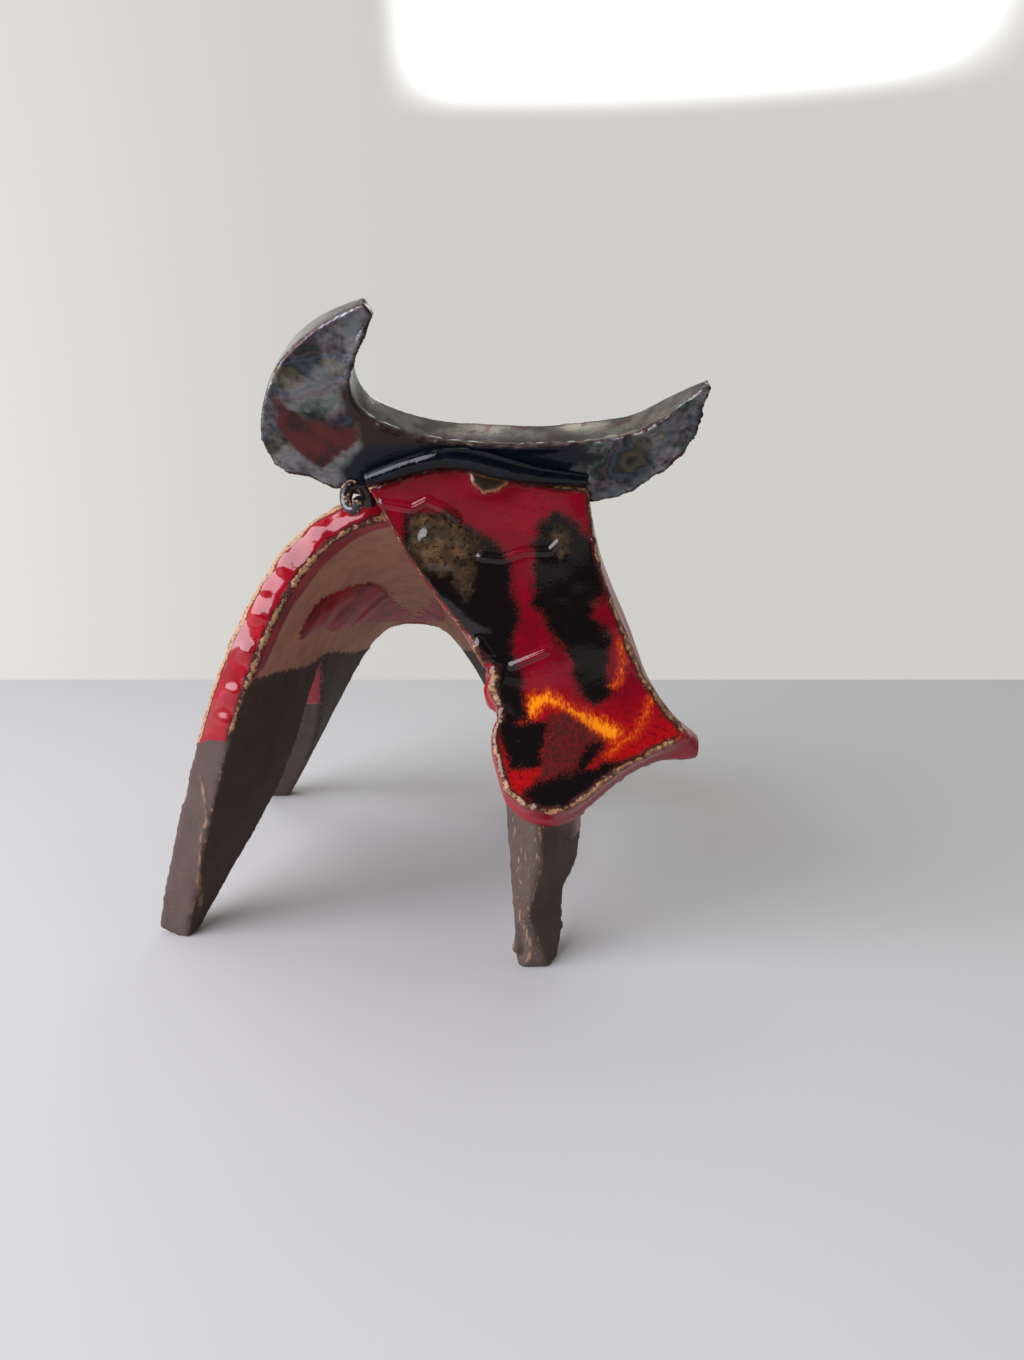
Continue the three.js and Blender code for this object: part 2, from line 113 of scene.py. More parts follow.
# The glazed front edge rolls back over this width, by this much times the square of the depth in it.
STRIP_ROLL_WIDTH = 4.6
STRIP_ROLL = 0.05
# How much wider the front edge's inner and outer worn beads are than the other worn edges
INNER_BEAD_WIDENED = 0.28
OUTER_BEAD_WIDENED = 0.8
# Inside the vault: the run of glaze and the line above the dark clay, as along and up
RUN_INSIDE = [(-23.5, 70), (-26, 75), (-24, 80.5), (-10, 82), (-3.5, 82), (8, 78.5), (22.5, 73),
              (39, 67), (54, 61), (45, 62.5), (17, 67), (7, 66.5), (-12, 71.5)]
DARK_CLAY_LINE = [(-45, 65.5), (-36, 65), (-18, 62.5), (-5, 60.5), (2, 62), (40, 54), (70, 50)]
# The band of glaze inside the front edge ends at this height.
BAND_LOW_END = 66
# Thick pools of glaze on the front edge, as across, up, radius and height
POOLS = [(-17, 98.4, 4.2, 0.8), (-24.3, 91.8, 4.2, 0.8), (-28.5, 86.0, 2.6, 0.45), (-30.6, 80.3, 3.0, 0.7),
         (-33.0, 71.8, 2.8, 0.7), (-37.0, 62.0, 3.2, 0.4), (-40.0, 55.0, 3.5, 0.4)]
# Ridges of clay on the front edge and on the left forefoot, across and up
CLAY_RIDGES = [[(-46.9, 41.4), (-46.1, 36.6), (-46, 31.2), (-47.7, 27.2), (-49.3, 18), (-51, 6)],
               [(26.2, 14), (26.7, 11.6), (28.1, 8.3), (29, 5.3), (28.6, 2.8), (27.5, 1.3)]]
FOOT_GROOVE = [(26.0, 9), (26.9, 6), (26.9, 3)]
# Torn crumbs of clay, as a place, a radius and a height
CRUMBS = [((-49.5, -40, 45.5), 1.2, 0.9), ((-50.3, -40, 41.8), 1.0, 0.8), ((-53.6, -39, 20), 1.2, -0.8),
          ((25.2, -49.5, 4.6), 1.1, 1.2), ((7.3, 62, 52.5), 1.6, 1.5), ((-49, -40, 3.5), 1.3, 0.8)]

# Head: its top, the length that hangs straight and the radius of its bend
HEAD_TOP = 107.2
HEAD_STRAIGHT = 28.0
HEAD_BEND = 70.0
# Markings on the head's face, across and down the unrolled slab, with left and right as seen from ahead
FACE_DARK_LEFT = [(3.5, 5), (11, 4.5), (18.5, 9), (23, 12.5), (24.5, 19), (25.5, 26), (24, 33), (27, 41),
                  (27, 47.5), (22, 46), (18, 34), (8, 21.5), (2.5, 13)]
FACE_OLIVE = [(4, 5.5), (11, 5.5), (18.5, 10), (17, 14), (16.5, 19), (15, 22.5), (12, 17), (6.5, 16),
              (3.5, 10.5)]
FACE_DARK_RIGHT = [(33.5, 4.5), (37.5, 7.5), (40.5, 10), (43, 16), (43, 23), (44.5, 30.5), (43.5, 37),
                   (44.5, 41.5), (41.5, 44), (38.5, 41), (37.5, 35.5), (33, 29.5), (29.5, 23), (29, 12),
                   (30.5, 7)]
FACE_BROWN_RIGHT = [(33, 7), (36, 8), (36.5, 12.5), (34, 14.5), (32, 10.5)]
FACE_RED_SPOT = (40.7, 25.5)
FACE_AMBER = [(27, 48), (27.5, 42.5), (32, 41), (37, 44.5), (43.5, 47), (47.5, 49.5), (46.5, 52.5),
              (41.5, 50.5), (35.5, 45.5), (31.5, 44), (29.5, 46.5)]
FACE_AMBER_LINES = [[(46.5, 52.5), (50, 50.5), (52, 47), (53.5, 43)], [(44, 55), (47, 52.5)],
                    [(47, 31), (47.5, 35.5), (46.5, 40), (44, 40.5)]]
FACE_NOSTRIL_LEFT = [(20.5, 44), (26.5, 45), (25.5, 48), (32, 48), (31, 52), (30.5, 56.5), (27.5, 57.5),
                     (24.5, 57.5), (22.5, 52)]
FACE_DULL = [(32, 46.5), (35.5, 45.5), (39.5, 48), (44, 51.5), (39, 54.5), (37, 60), (30, 60), (31, 53)]
FACE_NOSTRIL_RIGHT = [(43, 52.5), (40, 53), (38.5, 56), (38, 58.5), (40, 57.5), (42, 55)]
FACE_BAND = [(27.5, 62.5), (30, 60.5), (39, 57.5), (46.5, 56.5), (54.5, 54), (52, 58), (46, 62), (41, 65.5),
             (36, 68), (31, 68)]
FACE_CLAY_BLOB = [(16, -3.5), (22.5, -2), (24, -1), (21.5, 0.5), (18.5, 1), (16.5, -1)]
FACE_RIDGES = [[(18, 13.5), (22.5, 14), (27, 12.5), (32, 12.5), (34, 10.5)], [(24.5, 36), (31.5, 33)],
               [(-1.5, 3), (4.5, 4), (7.5, 2.5), (11, 4), (13.5, 6)]]
# A blister in the glaze of the left eye patch, as seen from ahead
FACE_BLISTER = (7.3, 9.4)
# The rolled lip on the slab's left edge, as seen from ahead
FACE_LIP = [(17.5, 32), (21, 37.5), (19.5, 42), (21, 46)]
# The muzzle's end is a knob of this radius, raised by this much and softened in this many rounds.
KNOB_RADIUS = 6
KNOB_HEIGHT = 2.2
KNOB_ROUNDS = 70

# Horns: markings, across and up
HORN_RUST = [(-20.5, 124.4), (-15.4, 120.6), (-5.2, 118.4), (-6.5, 115.6), (-9.5, 113.4), (-13.2, 111.2),
             (-16.6, 113.2), (-19.4, 117), (-20.6, 120)]
HORN_DARK = [(-9, 127), (-6.5, 127), (-3, 121.5), (4, 118.5), (20, 117), (36, 117.5), (41, 113.5),
             (36.5, 110.5), (36, 103), (-6, 103), (-9, 107.5), (-10.5, 111.5), (-5.5, 115), (-5.5, 119.5)]
HORN_SOFTEN_ROUNDS = 24

# Colours, linear. Bare clay: tan inside the vault, dark below its line, dusty outside
TAN_CLAY = (0.44, 0.225, 0.143)
TAN_CLAY_DULL = (0.34, 0.17, 0.11)
TAN_CLAY_GRAIN = (0.23, 0.115, 0.07)
DARK_CLAY = (0.052, 0.031, 0.025)
DARK_CLAY_DULL = (0.046, 0.026, 0.020)
DARK_CLAY_GRAIN = (0.085, 0.050, 0.036)
DUSTY_CLAY = (0.070, 0.046, 0.035)
DUSTY_CLAY_DULL = (0.055, 0.037, 0.029)
DUSTY_CLAY_FLECK = (0.22, 0.125, 0.075)
DUSTY_CLAY_PIT = (0.045, 0.030, 0.024)
DUSTY_CLAY_GRAIN = (0.12, 0.076, 0.054)
CLAY_RIDGE = (0.19, 0.105, 0.065)

# Body glaze, and its worn edges
RED_GLAZE = (0.25, 0.003, 0.010)
RED_GLAZE_DEEP = (0.17, 0.003, 0.008)
RED_GLAZE_SPECK = (0.33, 0.005, 0.006)
INSIDE_RED = (0.32, 0.002, 0.010)
INSIDE_RED_DEEP = (0.16, 0.002, 0.008)
# Thin glaze low on the left foreleg's outer side: brown where it is thin, and dark red as painted shade from
# the muzzle
SHADED_THIN_GLAZE_RED = (0.050, 0.005, 0.006)
SHADED_THIN_GLAZE_BROWN = (0.055, 0.026, 0.018)
BURNT_EDGE = (0.04, 0.008, 0.006)
BARE_RIM_DARK = (0.085, 0.05, 0.036)
BARE_RIM = (0.21, 0.115, 0.07)
GLAZED_RIM = (0.33, 0.17, 0.08)
GLAZED_RIM_DARK = (0.13, 0.065, 0.035)

# Face glaze
FACE_RED = (0.17, 0.0015, 0.009)
FACE_RED_DEEP = (0.11, 0.0015, 0.007)
FACE_RED_LOW = (0.28, 0.004, 0.004)
FACE_RED_CLOUD = (0.12, 0.002, 0.005)
FACE_RED_SPECK = (0.13, 0.004, 0.007)
FACE_RED_BEHIND = (0.22, 0.002, 0.010)
AMBER = (0.66, 0.19, 0.006)
AMBER_FEATHER = (0.36, 0.026, 0.004)
DULL_BROWN = (0.024, 0.009, 0.008)
DULL_RED = (0.090, 0.007, 0.008)
BLACK_GLAZE = (0.0045, 0.003, 0.003)
BLACK_GLAZE_HALO = (0.060, 0.006, 0.005)
BLACK_GLAZE_SPECK = (0.05, 0.028, 0.014)
OLIVE_GLAZE = (0.036, 0.022, 0.011)
OLIVE_GLAZE_TAN = (0.095, 0.050, 0.022)
OLIVE_GLAZE_SPECK = (0.014, 0.009, 0.006)
OLIVE_GLAZE_CLOUD = (0.010, 0.006, 0.004)
BLOB_RIM = (0.20, 0.11, 0.05)
BLOB_MIDDLE = (0.018, 0.010, 0.006)
FACE_BURNT_EDGE = (0.035, 0.010, 0.007)
FACE_RIM = (0.28, 0.145, 0.065)
FACE_RIM_DARK = (0.11, 0.055, 0.03)

# Horn lustre. Each film colour lies about one level of a slow noise.
LUSTRE_DARK = (0.020, 0.018, 0.018)
LUSTRE_PALE = (0.19, 0.185, 0.18)
LUSTRE_FILMS = [(0.36, (0.06, 0.10, 0.08)), (0.46, (0.10, 0.07, 0.09)), (0.55, (0.07, 0.09, 0.12)),
                (0.64, (0.12, 0.10, 0.06))]
LUSTRE_FILM_WIDTH = 0.06
LUSTRE_FILM_SHARE = 0.5
HORN_TOP_PALE = (0.17, 0.155, 0.12)
HORN_TOP_DARK = (0.06, 0.056, 0.044)
HORN_TOP_BROWN = (0.10, 0.045, 0.04)
# The right horn's outer side is painted pale grey, a painted reflection of the pale studio
HORN_SIDE_REFLECTION = (0.20, 0.195, 0.18)
RUST = (0.065, 0.011, 0.010)
RUST_DARK = (0.024, 0.008, 0.008)
HORN_BLACK = (0.005, 0.006, 0.010)
HORN_BROWN = (0.020, 0.009, 0.008)
HORN_EDGE = (0.045, 0.022, 0.016)

# Coil and curl
COIL_BLACK = (0.0015, 0.002, 0.004)
COIL_BLUE = (0.003, 0.005, 0.010)
CURL_BLACK = (0.008, 0.005, 0.006)
CURL_TAN = (0.38, 0.20, 0.095)

# How strongly each glaze mirrors
BODY_IOR = 1.43
FACE_IOR = 1.42
HORN_IOR = 1.3
COIL_IOR = 1.35
HORN_METALLIC = 0.8
RUST_METALLIC = 0.1

# Roughness
CLAY_ROUGHNESS = 0.85
GLAZE_ROUGHNESS = 0.09
MATT_GLAZE_ROUGHNESS = 0.55
FACE_ROUGHNESS = 0.04
DULL_ROUGHNESS = 0.22
OLIVE_ROUGHNESS = 0.14
FACE_RIM_ROUGHNESS = 0.5
HEAD_BACK_ROUGHNESS = 0.25
HORN_TOP_ROUGHNESS = 0.13
HORN_DARK_ROUGHNESS = 0.06
HORN_EDGE_ROUGHNESS = 0.42
CURL_GLAZE_ROUGHNESS = 0.08
CURL_CLAY_ROUGHNESS = 0.7

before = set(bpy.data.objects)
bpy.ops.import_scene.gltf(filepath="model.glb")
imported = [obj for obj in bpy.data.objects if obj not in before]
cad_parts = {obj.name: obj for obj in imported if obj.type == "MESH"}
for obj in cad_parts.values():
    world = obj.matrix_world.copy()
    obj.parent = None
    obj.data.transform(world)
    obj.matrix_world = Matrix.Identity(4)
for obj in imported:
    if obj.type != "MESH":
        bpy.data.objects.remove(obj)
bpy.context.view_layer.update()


# Camera, floor and lights

def add_camera():
    data = bpy.data.cameras.new("camera")
    data.sensor_fit = "HORIZONTAL"
    data.sensor_width = SENSOR
    data.lens = LENS
    data.clip_start = CLIP_START * MM
    camera = bpy.data.objects.new("camera", data)
    camera.location = Vector(CAMERA_PLACE) * MM
    camera.rotation_euler = (math.radians(90 - CAMERA_DOWN), 0, 0)
    bpy.context.scene.collection.objects.link(camera)
    bpy.context.scene.camera = camera


def add_lamp():
    data = bpy.data.lights.new("window", "AREA")
    data.shape = "RECTANGLE"
    data.size = LAMP_SIZE[0] * MM
    data.size_y = LAMP_SIZE[1] * MM
    data.energy = LAMP_WATTS
    data.color = LAMP_COLOUR
    lamp = bpy.data.objects.new("window", data)
    lamp.location = Vector(LAMP_PLACE) * MM
    aim = Vector(LAMP_TARGET) - Vector(LAMP_PLACE)
    lamp.rotation_euler = aim.to_track_quat("-Z", "Y").to_euler()
    bpy.context.scene.collection.objects.link(lamp)


def floor_material():
    material = bpy.data.materials.new("pale_floor")
    material.use_nodes = True
    shader = material.node_tree.nodes["Principled BSDF"]
    shader.inputs["Base Color"].default_value = (*FLOOR_COLOUR, 1)
    shader.inputs["Roughness"].default_value = FLOOR_ROUGHNESS
    return material


def add_floor():
    half = FLOOR_HALF_WIDTH * MM
    points = [(-half, FLOOR_NEAR * MM, 0), (half, FLOOR_NEAR * MM, 0),
              (half, FLOOR_FAR * MM, 0), (-half, FLOOR_FAR * MM, 0)]
    mesh = bpy.data.meshes.new("floor")
    mesh.from_pydata(points, [], [(0, 1, 2, 3)])
    floor = bpy.data.objects.new("floor", mesh)
    bpy.context.scene.collection.objects.link(floor)
    mesh.materials.append(floor_material())


def set_world():
    """The pale studio by direction: x, y and z run from -1 to 1, and each border is a soft step."""
    world = bpy.data.worlds.new("studio")
    world.use_nodes = True
    bpy.context.scene.world = world
    tree = world.node_tree

    def add(kind, **settings):
        node = tree.nodes.new(kind)
        for key, value in settings.items():
            setattr(node, key, value)
        return node

    def step(value, low, high):
        node = add("ShaderNodeMapRange", interpolation_type="SMOOTHSTEP")
        tree.links.new(value, node.inputs["Value"])
        node.inputs["From Min"].default_value = low
        node.inputs["From Max"].default_value = high
        return node.outputs[0]

    def mix(share, first, second):
        node = add("ShaderNodeMix", data_type="RGBA")
        tree.links.new(share, node.inputs["Factor"])
        for socket, value in ((node.inputs[6], first), (node.inputs[7], second)):
            if isinstance(value, tuple):
                socket.default_value = (*value, 1)
            else:
                tree.links.new(value, socket)
        return node.outputs[2]

    def both(first, second):
        node = add("ShaderNodeMath", operation="MULTIPLY")
        tree.links.new(first, node.inputs[0])
        tree.links.new(second, node.inputs[1])
        return node.outputs[0]

    def between(value, start, low, high, end):
        """1 from low to high, falling to 0 at start and end."""
        return both(step(value, start, low), step(value, end, high))

    split = add("ShaderNodeSeparateXYZ")
    tree.links.new(add("ShaderNodeTexCoord").outputs["Generated"], split.inputs[0])
    x, y, z = split.outputs
    back = mix(step(z, 0.35, 0.8), STUDIO, CEILING)
    back = mix(step(x, -0.1, -0.7), back, RIGHT_SIDE)
    rear = both(between(z, *REAR_UP), between(x, *REAR_ACROSS))
    back = mix(both(rear, step(y, 0.2, 0.4)), back, REAR_OPENING)
    overhead = both(step(z, 0.80, 0.86), between(x, *OVERHEAD_ACROSS))
    back = mix(both(overhead, step(y, 0.0, 0.1)), back, OVERHEAD_OPENING)
    front = mix(between(z, *FRONT_BAND_UP), DARK_FRONT, FRONT_BAND)
    sky = mix(step(y, -0.35, -0.8), back, front)
    tree.links.new(sky, tree.nodes["Background"].inputs["Color"])


# Fields on a surface, as arrays with one number for each vertex

def ramp(value, low, high):
    share = np.clip((value - low) / (high - low), 0, 1)
    return share * share * (3 - 2 * share)


def noise(points, size, seed=0):
    """Smooth noise from -1 to 1 whose lumps are about size millimetres apart."""
    cell = points / size + 31.7 * seed
    base = np.floor(cell).astype(np.int64)
    part = cell - base
    part = part * part * (3 - 2 * part)
    total = np.zeros(len(points))
    for corner in itertools.product((0, 1), repeat=3):
        key = (base + corner) @ np.array([73856093, 19349663, 83492791])
        key = (key ^ (key >> 13)) * 1274126177 % 4294967296
        key = (key ^ (key >> 16)) % 65536
        weight = np.prod(np.where(corner, part, 1 - part), axis=1)
        total += weight * (key / 32767.5 - 1)
    return total


def hump(distance, width):
    return np.exp(-(distance / width) ** 2)


def reach(points, place):
    """Distance of flat points from a place."""
    return np.hypot(points[:, 0] - place[0], points[:, 1] - place[1])


def line_distance(points, line, closed=False):
    """Distance of flat points from a line of straight runs."""
    line = np.array(line, float)
    ends = np.roll(line, -1, axis=0) if closed else line[1:]
    nearest = np.full(len(points), np.inf)
    for start, end in zip(line, ends):
        run = end - start
        share = np.clip((points - start) @ run / (run @ run), 0, 1)
        nearest = np.minimum(nearest, np.linalg.norm(points - start - share[:, None] * run, axis=1))
    return nearest


def inside_by(points, outline):
    """Distance of flat points inside a closed outline, and below 0 outside it."""
    inside = np.zeros(len(points), bool)
    for (x0, y0), (x1, y1) in zip(outline, outline[1:] + outline[:1]):
        crosses = (y0 > points[:, 1]) != (y1 > points[:, 1])
        if y0 != y1:
            inside ^= crosses & (points[:, 0] < x0 + (points[:, 1] - y0) * (x1 - x0) / (y1 - y0))
    return np.where(inside, 1, -1) * line_distance(points, outline, closed=True)


# Clay meshes

class Clay:
    """A fine mesh of one solid, whose vertices are moved as arrays in millimetres."""

    def __init__(self, name, node, voxel):
        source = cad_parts[node]
        self.node = node
        self.piece = bpy.data.objects.new(name, source.data.copy())
        bpy.context.scene.collection.objects.link(self.piece)
        remesh = self.piece.modifiers.new("remesh", "REMESH")
        remesh.mode = "VOXEL"
        remesh.voxel_size = voxel * MM
        graph = bpy.context.evaluated_depsgraph_get()
        self.mesh = bpy.data.meshes.new_from_object(self.piece.evaluated_get(graph))
        self.mesh.name = name
        self.piece.modifiers.clear()
        self.piece.data = self.mesh
        self.mesh.materials.clear()
        self.low, self.high = (np.array(corner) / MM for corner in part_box(node))
        self.edges = np.empty(len(self.mesh.edges) * 2, np.int32)
        self.mesh.edges.foreach_get("vertices", self.edges)
        self.edges = self.edges.reshape(-1, 2)
        self.links = np.bincount(self.edges.ravel(), minlength=len(self.mesh.vertices))
        self.points = np.empty(len(self.mesh.vertices) * 3, np.float32)
        self.mesh.vertices.foreach_get("co", self.points)
        self.points = self.points.reshape(-1, 3).astype(float) / MM
        self.smooth()
        self.sharp, self.facing = self.sharp_edges()
        self.arris = self.distance_to(self.sharp)
        self.drawn = self.points - (DRAWN_ASIDE, 0, 0)

    def average(self, values):
        """Each vertex's mean over its neighbours."""
        total = np.zeros_like(values)
        for near, far in ((0, 1), (1, 0)):
            for axis in range(values.shape[1]):
                there = values[self.edges[:, far], axis]
                total[:, axis] += np.bincount(self.edges[:, near], there, len(values))
        return total / self.links[:, None]

    def smooth(self):
        """Evens the surface out without shrinking it."""
        for _ in range(SMOOTH_ROUNDS):
            for share in SMOOTH_SHARES:
                self.points += share * (self.average(self.points) - self.points)
        self.place()

    def even(self, values, rounds):
        """A field averaged over its neighbours."""
        values = values[:, None]
        for _ in range(rounds):
            values = self.average(values)
        return values[:, 0]

    def soften(self, share, rounds):
        """Rounds the surface off where share is near 1."""
        for _ in range(rounds):
            self.points += share[:, None] * SOFTEN_SHARE * (self.average(self.points) - self.points)
        self.place()

    def place(self):
        """Writes the points to the mesh, kept inside the solid's own box, and reads the normals."""
        self.points = np.clip(self.points, self.low, self.high)
        self.mesh.vertices.foreach_set("co", (self.points * MM).astype(np.float32).ravel())
        self.mesh.update()
        normals = np.empty(len(self.points) * 3, np.float32)
        self.mesh.vertices.foreach_get("normal", normals)
        self.normals = normals.reshape(-1, 3).astype(float)

    def push(self, amount):
        self.points += self.normals * amount[:, None]
        self.place()

    def sharp_edges(self, least=0.7, step=0.4):
        """Points along the plain solid's edges that turn by over least radians, and how each faces."""
        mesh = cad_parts[self.node].data
        place = [tuple(round(length / MM, 3) for length in vertex.co) for vertex in mesh.vertices]
        meetings = {}
        for face in mesh.polygons:
            for a, b in face.edge_keys:
                meetings.setdefault(tuple(sorted((place[a], place[b]))), []).append(face.normal)
        found = []
        facing = []
        for (a, b), normals in meetings.items():
            if len(normals) == 2 and normals[0].angle(normals[1], 0) > least:
                start = Vector(a)
                run = Vector(b) - start
                count = max(1, math.ceil(run.length / step))
                found += [start + run * (i / count) for i in range(count)]
                facing += [(normals[0] + normals[1]).normalized()] * count
        return np.array(found), np.array(facing)

    def distance_to(self, places):
        tree = kdtree.KDTree(len(places))
        for index, place in enumerate(places):
            tree.insert(place, index)
        tree.balance()
        return np.array([tree.find(point)[2] for point in self.points])

    def note(self, name, values):
        """Keeps a field on the mesh for the material."""
        made = self.mesh.attributes.new(name, "FLOAT", "POINT")
        made.data.foreach_set("value", values.astype(np.float32))

    def finish(self, material):
        self.mesh.materials.append(material)
        self.mesh.polygons.foreach_set("use_smooth", np.ones(len(self.mesh.polygons), bool))
        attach(self.piece, "root")
        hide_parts(self.node)


# Materials

class Nodes:
    """Short calls for building one material's nodes."""

    def __init__(self, name):
        self.material = bpy.data.materials.new(name)
        self.material.use_nodes = True
        self.tree = self.material.node_tree
        self.shader = self.tree.nodes["Principled BSDF"]
        self.place = self.add("ShaderNodeTexCoord").outputs["Object"]

    def add(self, kind, inputs=(), **settings):
        node = self.tree.nodes.new(kind)
        for key, value in settings.items():
            setattr(node, key, value)
        for key, value in dict(inputs).items():
            self.feed(node.inputs[key], value)
        return node

    def feed(self, socket, value):
        if isinstance(value, bpy.types.NodeSocket):
            self.tree.links.new(value, socket)
        elif isinstance(value, tuple) and len(value) == 3 and socket.type == "RGBA":
            socket.default_value = (*value, 1)
        else:
            socket.default_value = value

    def field(self, name):
        return self.add("ShaderNodeAttribute", attribute_name=name).outputs["Fac"]

    def maths(self, operation, first, second=0.0):
        return self.add("ShaderNodeMath", {0: first, 1: second}, operation=operation).outputs[0]

    def noise(self, size, detail=3.0, stretch=(1, 1, 1)):
        """Noise from 0 to 1 whose lumps are about size millimetres apart."""
        inputs = {0: self.place, 1: stretch}
        scaled = self.add("ShaderNodeVectorMath", inputs, operation="MULTIPLY").outputs[0]
        made = self.add("ShaderNodeTexNoise", {"Vector": scaled, "Scale": 1 / (size * MM), "Detail": detail})
        return made.outputs["Fac"]

    def step(self, value, low, high):
        """0 below low, 1 above high, and smooth between."""
        inputs = {"Value": value, "From Min": low, "From Max": high}
        return self.add("ShaderNodeMapRange", inputs, interpolation_type="SMOOTHSTEP").outputs[0]

    def span(self, value, low, high):
        """A number from 0 to 1 stretched to low to high."""
        return self.add("ShaderNodeMapRange", {"Value": value, "To Min": low, "To Max": high}).outputs[0]

    def shifted(self, value, *noises):
        """A field moved by noises, each given with the most it moves by."""
        for made, most in noises:
            value = self.maths("ADD", value, self.span(made, -most, most))
        return value

    def mix(self, share, first, second):
        made = self.add("ShaderNodeMix", data_type="RGBA")
        self.feed(made.inputs["Factor"], share)
        self.feed(made.inputs[6], first)
        self.feed(made.inputs[7], second)
        return made.outputs[2]

    def blend(self, share, first, second):
        made = self.add("ShaderNodeMix", data_type="FLOAT")
        self.feed(made.inputs["Factor"], share)
        self.feed(made.inputs[2], first)
        self.feed(made.inputs[3], second)
        return made.outputs[0]

    def close(self, colour, roughness, height=None, depth=0.1):
        self.feed(self.shader.inputs["Base Color"], colour)
        self.feed(self.shader.inputs["Roughness"], roughness)
        if height is not None:
            bump = self.add("ShaderNodeBump", {"Height": height, "Distance": depth * MM, "Strength": 1.0})
            self.feed(self.shader.inputs["Normal"], bump.outputs[0])
        return self.material


def clay_colour(n, dark, pale):
    """Bare stoneware: pinkish tan, dark brown where dark is 1, or dusty brown where pale is 1 too."""
    grain = n.noise(0.35, 4)
    cloud = n.noise(6, 4)
    tan = n.mix(n.step(cloud, 0.35, 0.7), TAN_CLAY, TAN_CLAY_DULL)
    tan = n.mix(n.step(grain, 0.56, 0.72), tan, TAN_CLAY_GRAIN)
    brown = n.mix(n.step(cloud, 0.3, 0.7), DARK_CLAY, DARK_CLAY_DULL)
    brown = n.mix(n.step(grain, 0.62, 0.75), brown, DARK_CLAY_GRAIN)
    dust = n.mix(n.step(cloud, 0.3, 0.7), DUSTY_CLAY, DUSTY_CLAY_DULL)
    fleck = n.step(n.noise(0.8, 5, (1, 1, 0.3)), 0.60, 0.70)
    dust = n.mix(n.maths("MULTIPLY", fleck, n.step(pale, 0.75, 1.0)), dust, DUSTY_CLAY_FLECK)
    dust = n.mix(n.step(grain, 0.38, 0.30), dust, DUSTY_CLAY_PIT)
    dust = n.mix(n.step(n.noise(0.5, 4), 0.60, 0.70), dust, DUSTY_CLAY_GRAIN)
    return n.mix(dark, tan, n.mix(pale, brown, dust))


def body_material():
    n = Nodes("saddle_glaze_and_clay")
    inside = n.field("inside")
    thin_and_shaded = n.field("thin_and_shaded")
    glazed = n.step(n.shifted(n.field("glaze"), (n.noise(1.5, 5), 0.9)), -0.15, 0.15)
    dark = n.step(n.shifted(n.field("dark"), (n.noise(2.5, 5), 1.6)), -0.5, 0.5)
    clay = clay_colour(n, dark, n.field("pale"))
    pool = n.noise(7, 4)
    red = n.mix(n.step(pool, 0.3, 0.75), RED_GLAZE, RED_GLAZE_DEEP)
    red = n.mix(n.step(n.noise(0.5, 3), 0.66, 0.78), red, RED_GLAZE_SPECK)
    red = n.mix(inside, red, n.mix(n.step(pool, 0.4, 0.65), INSIDE_RED, INSIDE_RED_DEEP))
    # Low on the left foreleg's outer side: thin brown glaze, and dark red painted shade from the muzzle
    shaded_thin_red = n.mix(n.step(n.noise(2, 4), 0.45, 0.6), SHADED_THIN_GLAZE_RED, SHADED_THIN_GLAZE_BROWN)
    colour = n.mix(glazed, clay, n.mix(thin_and_shaded, red, shaded_thin_red))
    edge = n.shifted(n.field("arris"), (n.noise(0.9, 4), 0.5), (n.noise(4, 2), 0.5))
    bead = n.shifted(n.field("inner_arris"), (n.noise(0.9, 5), 0.6), (n.noise(3, 2), 0.5))
    edge = n.maths("MINIMUM", edge, n.maths("SUBTRACT", bead, INNER_BEAD_WIDENED))
    bead = n.shifted(n.field("outer_arris"), (n.noise(0.9, 4), 0.4), (n.noise(4, 2), 0.5))
    edge = n.maths("MINIMUM", edge, n.maths("SUBTRACT", bead, OUTER_BEAD_WIDENED))
    burnt = n.step(edge, 0.85, 0.45)
    colour = n.mix(n.maths("MULTIPLY", burnt, glazed), colour, BURNT_EDGE)
    worn = n.step(edge, 0.38, 0.2)
    bare_rim = n.mix(n.step(n.noise(1.2, 4), 0.4, 0.6), BARE_RIM_DARK, BARE_RIM)
    glazed_rim = n.mix(n.step(n.noise(0.7, 5), 0.50, 0.64), GLAZED_RIM, GLAZED_RIM_DARK)
    colour = n.mix(worn, colour, n.mix(glazed, bare_rim, glazed_rim))
    colour = n.mix(n.step(n.field("ridge"), 0.35, 0.8), colour, CLAY_RIDGE)
    wet = n.maths("MULTIPLY", glazed, n.blend(worn, 1.0, 0.25))
    shine = n.blend(n.maths("MAXIMUM", inside, thin_and_shaded), GLAZE_ROUGHNESS, MATT_GLAZE_ROUGHNESS)
    height = n.blend(glazed, n.noise(0.45, 5), n.span(n.noise(1.4, 2), 0.44, 0.56))
    n.feed(n.shader.inputs["IOR"], BODY_IOR)
    return n.close(colour, n.blend(wet, CLAY_ROUGHNESS, shine), height, 0.10)


def from_middle(points):
    """The way out from the body's middle line, across and up, for points of the drawing."""
    turn = ramp(points[:, 1], *LEG_REACH)
    x = points[:, 0] - FRONT_MIDDLE[0] - (REAR_MIDDLE[0] - FRONT_MIDDLE[0]) * turn
    z = points[:, 2] - FRONT_MIDDLE[1] - (REAR_MIDDLE[1] - FRONT_MIDDLE[1]) * turn
    length = np.hypot(x, z) + 1e-6
    return x / length, z / length


